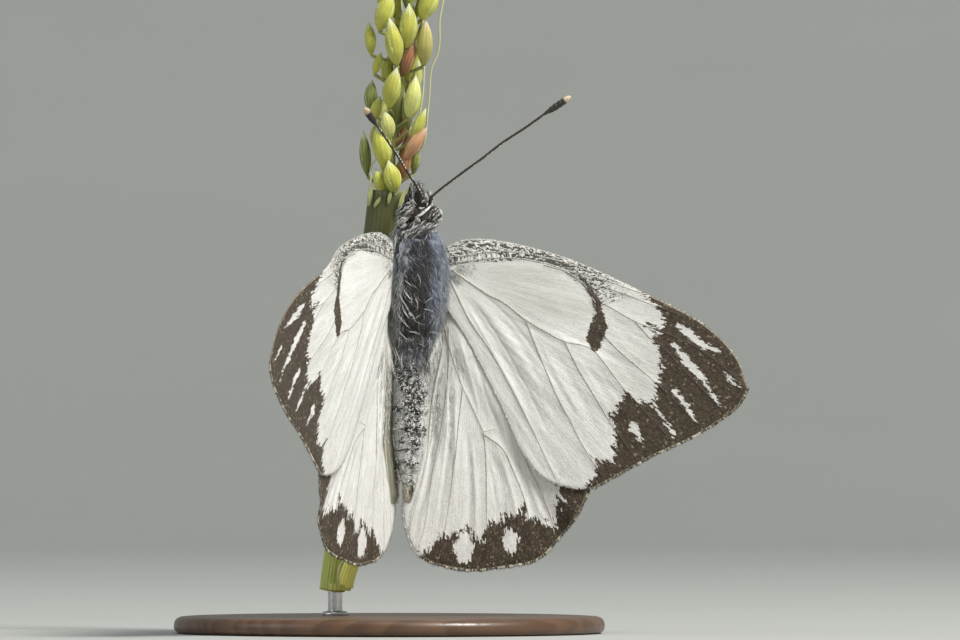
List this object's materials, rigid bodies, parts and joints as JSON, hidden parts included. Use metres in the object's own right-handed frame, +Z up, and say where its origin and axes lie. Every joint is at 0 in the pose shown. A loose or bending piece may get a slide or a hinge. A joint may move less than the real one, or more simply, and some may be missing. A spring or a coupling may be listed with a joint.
{
  "type": "brown-veined white butterfly display model",
  "caption": "Life-size white butterfly with brown-edged half-open wings, clinging head-up to a cut grass stem on a small round display stand.",
  "frame": {"origin": "centre of the underside of the round base, where it meets the floor", "axes": "+Z up, the butterfly's back and the patterned upper sides of its wings face -Y, its right side is +X"},
  "size_m": [0.0394, 0.0309, 0.0475],
  "materials": {
    "wing_scales": "matte white wing scales with dark brown border and veins",
    "body_hair": "dark cuticle under blue-grey and white hair",
    "abdomen_scales": "grey and white scales speckled black",
    "eye": "dark brown faceted eye, satin",
    "antenna": "black with white specks and an ochre-white tip",
    "leg": "black cuticle with white scales",
    "grass": "fresh yellow-green grass, satin",
    "rod_steel": "brushed",
    "base_wood": "dark walnut, satin oil"
  },
  "bodies": {
    "root": {"forewing_right": "wing_scales", "hindwing_right": "wing_scales", "eye_right": "eye", "palp_right": "body_hair", "antenna_right": "antenna", "foreleg_right": "leg", "midleg_right": "leg", "hindleg_right": "leg", "forewing_left": "wing_scales", "hindwing_left": "wing_scales", "eye_left": "eye", "palp_left": "body_hair", "antenna_left": "antenna", "foreleg_left": "leg", "midleg_left": "leg", "hindleg_left": "leg", "head": "body_hair", "thorax": "body_hair", "abdomen": "abdomen_scales", "proboscis": "antenna", "perch_stem": "grass", "stand_rod": "rod_steel", "stand_base": "base_wood"}
  },
  "joints": []
}
